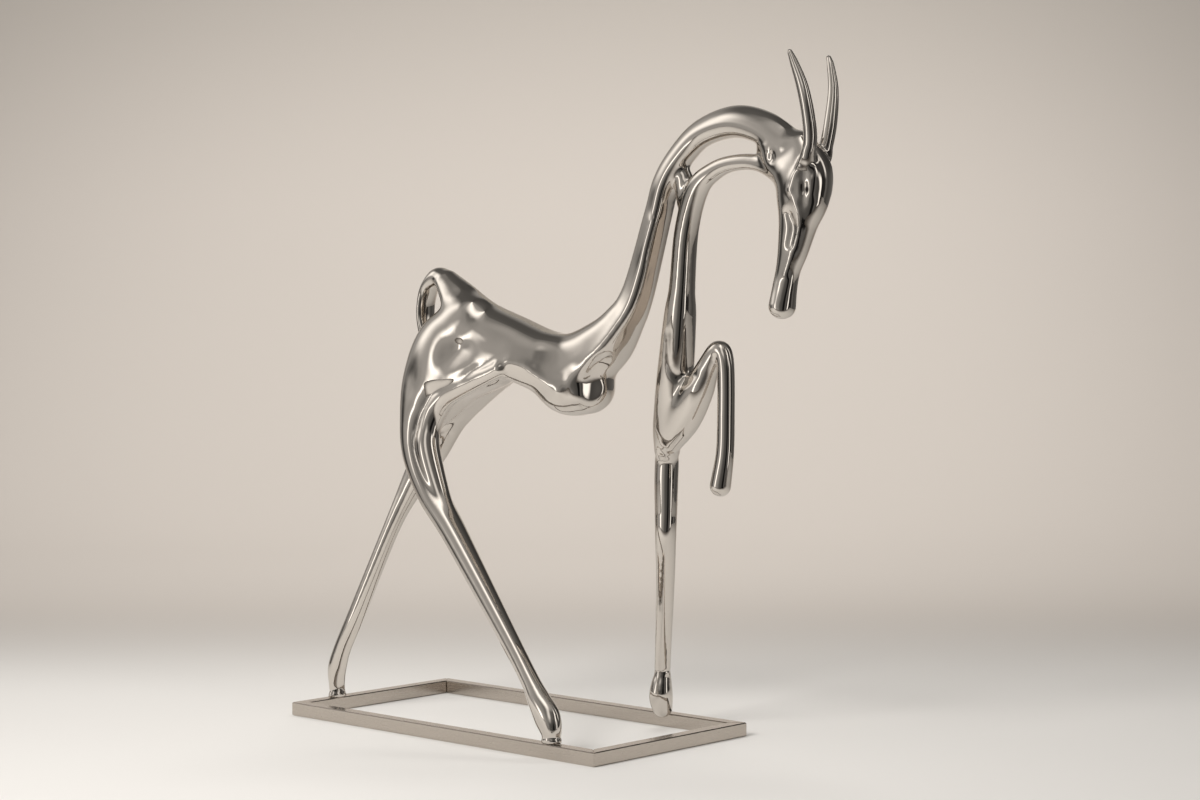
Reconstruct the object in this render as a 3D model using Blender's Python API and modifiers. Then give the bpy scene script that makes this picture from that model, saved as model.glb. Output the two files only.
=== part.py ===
# Polished steel horse with tall upright ears, standing on an open rectangle of square bar
#
# The horse is one welded and polished casting: a body with two hind legs and a looped tail, a neck that
# arches over to a hanging head, and a second strand that falls from the throat and forks into a standing
# and a raised foreleg. The frame is four mitred lengths of square bar, welded into one.
# X runs toward the head, Z up. Drawn on the centre of the frame, then moved so that the origin is the
# bottom centre of the whole work.

import math

import bmesh
import bpy
from mathutils import Matrix, Vector

# Driving sizes, in metres
BASE_LENGTH = 0.374
BASE_WIDTH = 0.196
RAIL_WIDTH = 0.012
RAIL_HEIGHT = 0.012
RAIL_EDGE_RADIUS = 0.0005
FIGURE_HEIGHT = 0.575
SEAT_GAP = 0.0003

# Where the feet stand: how far along the frame, or how far across it
NEAR_FOOT_ALONG = 0.133
FAR_FOOT_ACROSS = -0.049
FRONT_FOOT_ALONG = 0.105
HOOF_OVERHANG = 0.0015

# Fineness of the solid
SECTION_SIDES = 20
RING_SPACING = 0.006
END_RINGS = 3
WELD_VOXEL = 0.0022
WELD_SMOOTHING = 5
FACES_KEPT = 0.069
FOOT_BLOCK = 0.05

# Each limb is a row of stations: along, across and up, half the depth and half the width of the section,
# all in hundredths of the figure's height, and how square the section is, where 2 is an ellipse.
SPINE = (
    (-9.7, -4.5, 68.6, 1.7, 2.0, 2.2),
    (-7.0, -4.3, 65.9, 2.6, 3.1, 2.3),
    (-3.4, -3.8, 62.0, 3.8, 4.5, 2.4),
    (2.0, -2.8, 59.2, 4.4, 5.2, 2.6),
    (8.2, -1.6, 56.7, 4.6, 5.3, 2.6),
    (13.3, -0.3, 56.4, 4.5, 5.0, 2.6),
    (18.4, 0.0, 58.8, 3.8, 4.2, 2.7),
    (22.3, 0.0, 62.3, 2.7, 3.2, 2.8),
    (25.4, 0.0, 66.8, 2.0, 2.5, 3.0),
    (29.2, 0.0, 77.7, 1.7, 2.1, 3.0),
    (31.0, 0.0, 82.8, 1.7, 2.1, 3.0),
    (33.9, 0.0, 86.6, 1.8, 2.0, 2.8),
    (38.0, 0.0, 89.6, 2.0, 2.0, 2.6),
    (43.9, 0.0, 90.9, 2.3, 2.3, 2.6),
    (49.2, 0.0, 89.8, 2.4, 2.4, 2.5),
    (53.8, 0.0, 87.1, 2.4, 2.4, 2.4),
)
BREAST = (
    (8.5, -1.2, 54.9, 3.0, 4.0, 2.4),
    (12.5, -0.3, 52.8, 4.2, 5.3, 2.4),
    (15.0, 0.0, 52.9, 4.3, 5.0, 2.3),
)
HEAD = (
    (55.5, 0.0, 87.0, 2.4, 2.1, 2.3),
    (56.2, 0.0, 83.4, 4.0, 3.0, 2.3),
    (56.1, 0.0, 80.1, 3.9, 3.0, 2.3),
    (55.3, 0.0, 76.6, 2.9, 2.3, 2.3),
    (54.4, 0.0, 72.8, 2.2, 1.9, 2.3),
    (53.5, 0.0, 69.9, 1.7, 1.6, 2.3),
    (52.9, 0.0, 67.3, 1.7, 1.7, 2.3),
    (52.5, 0.0, 65.2, 1.8, 2.0, 2.2),
)
THROAT = (
    (49.7, 0.0, 86.7, 1.5, 1.5, 2.2),
    (52.0, 0.0, 85.5, 2.2, 2.2, 2.2),
)
STANDING_FORELEG = (
    (53.1, 0.0, 83.0, 1.6, 1.6, 2.4),
    (48.5, 0.0, 84.9, 1.2, 1.35, 2.4),
    (43.9, 0.0, 85.1, 1.15, 1.3, 2.4),
    (40.0, 0.2, 84.1, 1.3, 1.45, 2.4),
    (36.6, 0.5, 81.7, 1.5, 1.65, 2.6),
    (33.8, 1.4, 75.9, 1.55, 1.75, 2.6),
    (31.9, 2.6, 67.6, 1.7, 1.9, 2.6),
    (30.9, 3.3, 63.3, 2.1, 2.35, 2.6),
    (28.6, 4.9, 54.7, 2.45, 2.7, 2.4),
    (27.0, 5.6, 50.2, 2.2, 2.4, 2.4),
    (25.6, 6.6, 44.9, 2.0, 2.0, 2.4),
    (23.8, 8.3, 35.7, 1.75, 1.75, 2.2),
    (21.9, 10.4, 23.4, 1.35, 1.35, 2.2),
    (19.4, 12.7, 9.5, 1.25, 1.25, 2.2),
    (18.9, 13.2, 6.9, 1.45, 1.45, 2.0),
    (18.2, 13.9, 4.4, 1.75, 1.75, 2.0),
    (18.2, 14.3, 2.9, 1.6, 1.6, 2.0),
)
RAISED_FORELEG = (
    (26.8, 6.3, 44.7, 1.55, 1.55, 2.4),
    (30.1, 5.6, 48.1, 2.1, 2.1, 2.4),
    (33.0, 4.9, 52.3, 2.15, 2.15, 2.4),
    (35.4, 4.5, 56.2, 1.6, 1.6, 2.3),
    (37.5, 4.3, 58.5, 1.4, 1.4, 2.2),
    (38.7, 4.3, 56.4, 1.25, 1.25, 2.2),
    (38.8, 4.3, 47.7, 1.25, 1.25, 2.2),
    (38.6, 4.3, 43.3, 1.3, 1.3, 2.2),
    (37.8, 4.3, 38.8, 1.55, 1.55, 2.0),
)
NEAR_HIND_LEG = (
    (-3.7, -5.2, 63.0, 3.1, 3.1, 2.3),
    (-8.2, -5.7, 58.6, 5.4, 4.3, 2.3),
    (-11.4, -6.6, 53.0, 4.5, 4.0, 2.5),
    (-12.5, -7.7, 47.1, 3.0, 3.4, 2.8),
    (-11.7, -8.3, 41.8, 2.4, 3.3, 2.8),
    (-8.1, -9.2, 35.8, 2.0, 2.8, 2.8),
    (-1.6, -10.6, 29.7, 1.7, 2.05, 2.6),
    (12.8, -13.9, 15.9, 1.4, 1.4, 2.2),
    (18.2, -15.1, 10.5, 1.35, 1.35, 2.2),
    (21.9, -15.8, 6.5, 1.65, 1.65, 2.0),
    (23.1, -16.0, 3.6, 1.6, 1.1, 2.0),
    (23.1, -16.0, 1.8, 1.65, 1.0, 2.0),
)
FAR_HIND_LEG = (
    (-1.0, -1.0, 57.4, 4.2, 4.2, 2.4),
    (-7.0, -0.7, 53.6, 3.9, 3.9, 2.4),
    (-13.8, -1.0, 48.1, 3.6, 3.6, 2.4),
    (-16.2, -2.1, 42.1, 2.6, 2.6, 2.4),
    (-19.4, -3.8, 35.5, 1.7, 1.7, 2.4),
    (-22.1, -5.4, 29.1, 1.3, 1.3, 2.2),
    (-27.6, -7.7, 15.5, 1.35, 1.35, 2.2),
    (-30.2, -8.3, 10.0, 1.4, 1.4, 2.0),
    (-31.3, -8.5, 6.7, 1.5, 1.5, 2.0),
    (-31.4, -8.5, 4.4, 1.1, 1.6, 2.0),
    (-31.3, -8.5, 1.5, 1.0, 1.65, 2.0),
)
TAIL = (
    (-8.8, -4.5, 68.3, 1.8, 1.8, 2.2),
    (-11.5, -4.5, 69.3, 1.45, 1.75, 2.2),
    (-13.8, -4.3, 67.9, 0.95, 1.85, 2.2),
    (-14.9, -4.2, 65.5, 0.8, 1.85, 2.2),
    (-15.0, -4.2, 62.6, 0.8, 1.85, 2.2),
    (-13.9, -4.2, 59.1, 1.0, 2.0, 2.2),
)
NEAR_EAR = (
    (58.3, -2.3, 84.2, 0.95, 0.95, 2.2),
    (59.6, -3.0, 87.5, 0.95, 0.95, 2.2),
    (59.7, -3.5, 90.9, 0.9, 0.9, 2.2),
    (59.0, -4.0, 94.8, 0.85, 0.75, 2.2),
    (57.8, -4.3, 98.1, 0.6, 0.55, 2.0),
    (57.2, -4.5, 99.6, 0.35, 0.35, 2.0),
)
FAR_EAR = (
    (56.9, 2.3, 83.5, 1.05, 1.05, 2.2),
    (57.8, 3.0, 87.2, 0.95, 0.95, 2.2),
    (58.2, 3.5, 90.7, 0.9, 0.9, 2.2),
    (58.2, 4.0, 94.8, 0.75, 0.7, 2.2),
    (57.5, 4.3, 98.2, 0.55, 0.5, 2.0),
    (57.0, 4.5, 99.4, 0.35, 0.35, 2.0),
)

# Finishes: linear colour, metallic, roughness
HORSE_STEEL = ((0.62, 0.59, 0.55), 1.0, 0.06)
FRAME_STEEL = ((0.50, 0.46, 0.42), 1.0, 0.18)


def clear_scene():
    for obj in list(bpy.data.objects):
        bpy.data.objects.remove(obj, do_unlink=True)


def new_collection(name):
    collection = bpy.data.collections.new(name)
    bpy.context.scene.collection.children.link(collection)
    return collection


def new_material(name, finish):
    colour, metallic, roughness = finish
    material = bpy.data.materials.new(name)
    material.use_nodes = True
    shader = material.node_tree.nodes["Principled BSDF"]
    shader.inputs["Base Color"].default_value = (*colour, 1.0)
    shader.inputs["Metallic"].default_value = metallic
    shader.inputs["Roughness"].default_value = roughness
    return material


def new_object(name, mesh, collection, parent):
    obj = bpy.data.objects.new(name, mesh)
    collection.objects.link(obj)
    obj.parent = parent
    return obj


def hide_helper(obj):
    """A cutter or a piece that is joined into another: drawn as wire, and not a part of its own."""
    obj.hide_render = True
    obj.display_type = "WIRE"


def in_metres(stations):
    """Stations as vectors: a place, the two half sizes and the squareness."""
    share = FIGURE_HEIGHT / 100
    return [
        (Vector(row[:3]) * share, Vector((row[3] * share, row[4] * share, row[5])))
        for row in stations
    ]


def planted(stations, foot):
    """The leg with its lowest station moved over the foot's place, and the rest following less and less."""
    rows = in_metres(stations)
    top = rows[0][0].z
    bottom = rows[-1][0].z
    shift = Vector((foot[0], foot[1], bottom)) - rows[-1][0]
    moved = []
    for place, section in rows:
        share = (top - place.z) / (top - bottom)
        moved.append((place + shift * share**2, section))
    return moved


def between(p0, p1, p2, p3, t):
    """A point on the smooth curve from p1 to p2."""
    return 0.5 * (
        2 * p1
        + (p2 - p0) * t
        + (2 * p0 - 5 * p1 + 4 * p2 - p3) * t**2
        + (3 * p1 - p0 - 3 * p2 + p3) * t**3
    )


def smoothed(rows):
    """The stations with more between them, RING_SPACING apart or closer."""
    first = tuple(2 * a - b for a, b in zip(rows[0], rows[1]))
    last = tuple(2 * a - b for a, b in zip(rows[-1], rows[-2]))
    padded = [first, *rows, last]
    fine = []
    for i in range(1, len(padded) - 2):
        steps = max(1, math.ceil((padded[i + 1][0] - padded[i][0]).length / RING_SPACING))
        for step in range(steps):
            t = step / steps
            fine.append(
                tuple(
                    between(padded[i - 1][k], padded[i][k], padded[i + 1][k], padded[i + 2][k], t)
                    for k in (0, 1)
                )
            )
    fine.append(rows[-1])
    return fine


def section_ring(bm, centre, depth_way, width_way, section):
    """A ring of vertices on a superellipse."""
    ring = []
    for side in range(SECTION_SIDES):
        angle = 2 * math.pi * side / SECTION_SIDES
        c, s = math.cos(angle), math.sin(angle)
        reach = (abs(c) ** section.z + abs(s) ** section.z) ** (-1 / section.z)
        offset = depth_way * (section.x * reach * c) + width_way * (section.y * reach * s)
        ring.append(bm.verts.new(centre + offset))
    return ring


def loft_limb(bm, rows):
    """A closed limb through the stations, with a rounded end on each."""
    fine = smoothed(rows)
    rings = []
    for i, (centre, section) in enumerate(fine):
        before = fine[max(i - 1, 0)][0]
        after = fine[min(i + 1, len(fine) - 1)][0]
        forward = (after - before).normalized()
        width_way = (Vector((0, 1, 0)) - forward * forward.y).normalized()
        depth_way = width_way.cross(forward)
        end = {0: -1, len(fine) - 1: 1}.get(i, 0)
        turns = [math.pi / 2 * k / (END_RINGS + 1) for k in range(END_RINGS + 1)] if end else [0]
        cap = []
        for turn in turns:
            shrunk = Vector((section.x * math.cos(turn), section.y * math.cos(turn), section.z))
            out = centre + forward * (end * min(section.x, section.y) * math.sin(turn))
            cap.append(section_ring(bm, out, depth_way, width_way, shrunk))
        rings.extend(reversed(cap) if end < 0 else cap)
    for lower, upper in zip(rings, rings[1:]):
        for k in range(SECTION_SIDES):
            n = (k + 1) % SECTION_SIDES
            bm.faces.new((lower[k], lower[n], upper[n], upper[k]))
    bm.faces.new(list(reversed(rings[0])))
    bm.faces.new(rings[-1])


def limb_mesh(name, limbs):
    bm = bmesh.new()
    for rows in limbs:
        loft_limb(bm, rows)
    bmesh.ops.recalc_face_normals(bm, faces=bm.faces)
    mesh = bpy.data.meshes.new(name)
    bm.to_mesh(mesh)
    bm.free()
    return mesh


def add_boolean(obj, name, other, operation):
    modifier = obj.modifiers.new(name, "BOOLEAN")
    modifier.operation = operation
    modifier.object = other
    modifier.solver = "EXACT"


def frame_mesh(name, margin):
    """The rectangle of square bar, with every face but the underside pushed out by the margin."""
    curve = bpy.data.curves.new(name, "CURVE")
    curve.dimensions = "2D"
    curve.fill_mode = "BOTH"
    curve.extrude = (RAIL_HEIGHT + margin) / 2
    half_sizes = (
        (BASE_LENGTH / 2 + margin, BASE_WIDTH / 2 + margin),
        (BASE_LENGTH / 2 - RAIL_WIDTH - margin, BASE_WIDTH / 2 - RAIL_WIDTH - margin),
    )
    for half_x, half_y in half_sizes:
        outline = curve.splines.new("POLY")
        outline.points.add(3)
        corners = ((-1, -1), (1, -1), (1, 1), (-1, 1))
        for point, (x, y) in zip(outline.points, corners):
            point.co = (x * half_x, y * half_y, 0, 1)
        outline.use_cyclic_u = True
    drawn = bpy.data.objects.new(name, curve)
    bpy.context.scene.collection.objects.link(drawn)
    graph = bpy.context.evaluated_depsgraph_get()
    mesh = bpy.data.meshes.new_from_object(drawn.evaluated_get(graph))
    bpy.data.objects.remove(drawn, do_unlink=True)
    bm = bmesh.new()
    bm.from_mesh(mesh)
    bmesh.ops.remove_doubles(bm, verts=bm.verts, dist=SEAT_GAP / 10)
    bmesh.ops.translate(bm, verts=bm.verts, vec=(0, 0, (RAIL_HEIGHT + margin) / 2))
    bmesh.ops.recalc_face_normals(bm, faces=bm.faces)
    bm.to_mesh(mesh)
    bm.free()
    return mesh


def build_frame(collection, parent):
    obj = new_object("base_frame", frame_mesh("base_frame", 0), collection, parent)
    edges = obj.modifiers.new("rounded_edges", "BEVEL")
    edges.width = RAIL_EDGE_RADIUS
    edges.segments = 2
    edges.limit_method = "ANGLE"
    obj.data.materials.append(new_material("frame_steel", FRAME_STEEL))
    return obj


def foot_block(name, foot, collection, parent):
    """The space under a hind foot, which leaves its sole flat and just clear of the rail."""
    top = RAIL_HEIGHT + SEAT_GAP
    bm = bmesh.new()
    bmesh.ops.create_cube(bm, size=FOOT_BLOCK)
    bmesh.ops.translate(bm, verts=bm.verts, vec=(foot[0], foot[1], top - FOOT_BLOCK / 2))
    mesh = bpy.data.meshes.new(name)
    bm.to_mesh(mesh)
    bm.free()
    block = new_object(name, mesh, collection, parent)
    hide_helper(block)
    return block


def build_horse(collection, cutters, parent):
    rail_from_edge = RAIL_WIDTH / 2
    near_foot = (NEAR_FOOT_ALONG, -BASE_WIDTH / 2 + rail_from_edge)
    far_foot = (-BASE_LENGTH / 2 + rail_from_edge, FAR_FOOT_ACROSS)
    hoof_reach = STANDING_FORELEG[-1][4] * FIGURE_HEIGHT / 100
    inner_face = BASE_WIDTH / 2 - RAIL_WIDTH
    front_foot = (FRONT_FOOT_ALONG, inner_face + 2 * HOOF_OVERHANG + SEAT_GAP - hoof_reach)

    welded = [in_metres(limb) for limb in (SPINE, BREAST, HEAD, THROAT, RAISED_FORELEG, TAIL)]
    welded.append(planted(STANDING_FORELEG, front_foot))
    welded.append(planted(NEAR_HIND_LEG, near_foot))
    welded.append(planted(FAR_HIND_LEG, far_foot))
    horse = new_object("horse_figure", limb_mesh("horse_figure", welded), collection, parent)

    weld = horse.modifiers.new("weld_limbs", "REMESH")
    weld.mode = "VOXEL"
    weld.voxel_size = WELD_VOXEL
    weld.use_smooth_shade = True
    polish = horse.modifiers.new("smooth_welds", "SMOOTH")
    polish.factor = 0.5
    polish.iterations = WELD_SMOOTHING
    fewer = horse.modifiers.new("fewer_faces", "DECIMATE")
    fewer.ratio = FACES_KEPT
    for name, stations in (("near_ear", NEAR_EAR), ("far_ear", FAR_EAR)):
        ear = new_object(name, limb_mesh(name, [in_metres(stations)]), cutters, parent)
        hide_helper(ear)
        add_boolean(horse, name, ear, "UNION")
    rail_space = new_object("rail_space", frame_mesh("rail_space", SEAT_GAP), cutters, parent)
    hide_helper(rail_space)
    for name, foot in (("near_foot_space", near_foot), ("far_foot_space", far_foot)):
        add_boolean(horse, name, foot_block(name, foot, cutters, parent), "DIFFERENCE")
    add_boolean(horse, "rail_space", rail_space, "DIFFERENCE")
    horse.data.materials.append(new_material("horse_steel", HORSE_STEEL))
    return horse


def centre_on_box(parent, objects):
    """Moves the work so that the origin is at the bottom centre of its box."""
    bpy.context.view_layer.update()
    graph = bpy.context.evaluated_depsgraph_get()
    corners = []
    for obj in objects:
        evaluated = obj.evaluated_get(graph)
        mesh = evaluated.to_mesh()
        corners.extend(evaluated.matrix_world @ vertex.co for vertex in mesh.vertices)
        evaluated.to_mesh_clear()
    low = Vector(min(corner[k] for corner in corners) for k in range(3))
    high = Vector(max(corner[k] for corner in corners) for k in range(3))
    parent.matrix_world = Matrix.Translation((-(low.x + high.x) / 2, -(low.y + high.y) / 2, -low.z))
    bpy.context.view_layer.update()


def build():
    clear_scene()
    work = new_collection("steel_horse_sculpture")
    cutters = new_collection("cutters")
    placed = bpy.data.objects.new("work_origin", None)
    work.objects.link(placed)
    frame = build_frame(work, placed)
    horse = build_horse(work, cutters, placed)
    centre_on_box(placed, (frame, horse))


build()
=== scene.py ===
# Polished steel horse with tall ears on an open frame of square bar, in a plain studio.
# Everything is measured in millimetres from the centre of the frame's underside, with X toward the head
# and Z up, and turned into the part's own metres when a mesh is made.

import math

import bmesh
import bpy
import numpy as np
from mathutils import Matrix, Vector


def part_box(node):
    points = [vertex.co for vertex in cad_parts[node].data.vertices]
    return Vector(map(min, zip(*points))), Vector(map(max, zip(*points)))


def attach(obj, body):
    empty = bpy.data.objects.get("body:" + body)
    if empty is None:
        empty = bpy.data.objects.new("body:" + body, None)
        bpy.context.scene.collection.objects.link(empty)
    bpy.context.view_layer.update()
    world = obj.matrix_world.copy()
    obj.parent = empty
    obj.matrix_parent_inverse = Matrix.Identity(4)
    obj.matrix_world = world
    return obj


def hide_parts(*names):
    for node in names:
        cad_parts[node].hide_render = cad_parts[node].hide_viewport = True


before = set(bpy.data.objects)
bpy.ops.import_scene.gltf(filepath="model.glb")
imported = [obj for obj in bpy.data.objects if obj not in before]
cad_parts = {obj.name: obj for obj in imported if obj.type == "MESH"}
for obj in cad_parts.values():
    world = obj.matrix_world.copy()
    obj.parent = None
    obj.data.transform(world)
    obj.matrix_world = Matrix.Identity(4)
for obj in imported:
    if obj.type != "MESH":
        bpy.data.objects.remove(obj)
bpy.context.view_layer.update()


# The frame the horse stands on
# Four lengths of square stainless bar, mitred and welded flush at the corners. The edges are broken with a
# file, and the faces are finely ground along the bar, so they mirror the room softly.

RAIL = 12.0
FILED_EDGE = 0.8
MITRE_GAP = 0.06
GROUND_COLOUR = (0.53, 0.48, 0.43)
GRAIN_ALONG, GRAIN_ACROSS = 1, 40
LONG_BARS, SHORT_BARS = 0, 1

frame_low, frame_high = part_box("base_frame")
FRAME_CENTRE = [500 * (low + high) for low, high in zip(frame_low, frame_high)]
FRAME_LENGTH = 1000 * (frame_high[0] - frame_low[0])
FRAME_WIDTH = 1000 * (frame_high[1] - frame_low[1])


def in_part_metres(points):
    """Places measured from the frame's centre, as the part's own metres."""
    return (np.asarray(points, float) + (FRAME_CENTRE[0], FRAME_CENTRE[1], 0)) / 1000


def add_mitred_bar(bm, length, across, turn, bars):
    """One of the long or short bars: mitred at the ends, `across` away from the centre, turned about Z."""
    half = length / 2
    corners = []
    for z in (0, RAIL):
        corners += [
            (-half, -across, z),
            (half, -across, z),
            (half - RAIL, -across + RAIL, z),
            (-half + RAIL, -across + RAIL, z),
        ]
    c, s = math.cos(turn), math.sin(turn)
    placed = in_part_metres([(x * c - y * s, x * s + y * c, z) for x, y, z in corners])
    verts = [bm.verts.new(place) for place in placed]
    for face in ((3, 2, 1, 0), (4, 5, 6, 7), (0, 1, 5, 4), (1, 2, 6, 5), (2, 3, 7, 6), (3, 0, 4, 7)):
        bm.faces.new([verts[k] for k in face]).material_index = bars


def make_mesh_object(name, bm):
    mesh = bpy.data.meshes.new(name)
    bm.to_mesh(mesh)
    bm.free()
    obj = bpy.data.objects.new(name, mesh)
    bpy.context.scene.collection.objects.link(obj)
    return obj


def steel_nodes(name, colour, roughness):
    material = bpy.data.materials.new(name)
    material.use_nodes = True
    nodes = material.node_tree.nodes
    shader = nodes["Principled BSDF"]
    shader.inputs["Base Color"].default_value = (*colour, 1)
    shader.inputs["Metallic"].default_value = 1
    shader.inputs["Roughness"].default_value = roughness
    return material, nodes, material.node_tree.links, shader


def ground_steel(name, colour, stretch):
    """Ground steel with fine streaks; `stretch` is small along the grain and large across it."""
    material, nodes, links, shader = steel_nodes(name, colour, 0.2)
    place = nodes.new("ShaderNodeTexCoord")
    along = nodes.new("ShaderNodeMapping")
    along.inputs["Scale"].default_value = stretch
    streaks = nodes.new("ShaderNodeTexNoise")
    streaks.inputs["Scale"].default_value = 60
    streaks.inputs["Detail"].default_value = 6
    links.new(place.outputs["Object"], along.inputs["Vector"])
    links.new(along.outputs["Vector"], streaks.inputs["Vector"])
    rough = nodes.new("ShaderNodeMapRange")
    rough.inputs["From Min"].default_value = 0.3
    rough.inputs["From Max"].default_value = 0.7
    rough.inputs["To Min"].default_value = 0.16
    rough.inputs["To Max"].default_value = 0.30
    links.new(streaks.outputs["Fac"], rough.inputs["Value"])
    links.new(rough.outputs["Result"], shader.inputs["Roughness"])
    scratches = nodes.new("ShaderNodeBump")
    scratches.inputs["Strength"].default_value = 0.06
    scratches.inputs["Distance"].default_value = 0.0002
    links.new(streaks.outputs["Fac"], scratches.inputs["Height"])
    links.new(scratches.outputs["Normal"], shader.inputs["Normal"])
    return material


def make_frame():
    bm = bmesh.new()
    for turn in (0, math.pi):
        add_mitred_bar(bm, FRAME_LENGTH - MITRE_GAP, FRAME_WIDTH / 2, turn, LONG_BARS)
    for turn in (math.pi / 2, -math.pi / 2):
        add_mitred_bar(bm, FRAME_WIDTH - MITRE_GAP, FRAME_LENGTH / 2, turn, SHORT_BARS)
    obj = make_mesh_object("base_frame_bars", bm)
    along_x = (GRAIN_ALONG, GRAIN_ACROSS, GRAIN_ACROSS)
    along_y = (GRAIN_ACROSS, GRAIN_ALONG, GRAIN_ACROSS)
    obj.data.materials.append(ground_steel("frame_long_bars", GROUND_COLOUR, along_x))
    obj.data.materials.append(ground_steel("frame_short_bars", GROUND_COLOUR, along_y))
    filed = obj.modifiers.new("filed_edges", "BEVEL")
    filed.width = FILED_EDGE / 1000
    filed.segments = 1
    filed.limit_method = "ANGLE"
    return obj


base = make_frame()
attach(base, "root")
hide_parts("base_frame")


# The horse
# Cast stainless steel, its pieces welded together, ground smooth and polished to a mirror. It is modelled
# as limbs swept through stations and run into each other the way the welds are filled and ground back.

HEIGHT = 575.0
# The size of a cell of the clay, how far from a limb its distances reach, and the step between the sections
# of a limb; then how often the skin is evened out, and the gap that the feet keep to the bars
CELL = 1.8
REACH = 16.0
STATION_STEP = 2.0
POLISHING = 6
SOLE_GAP = 0.35

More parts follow.
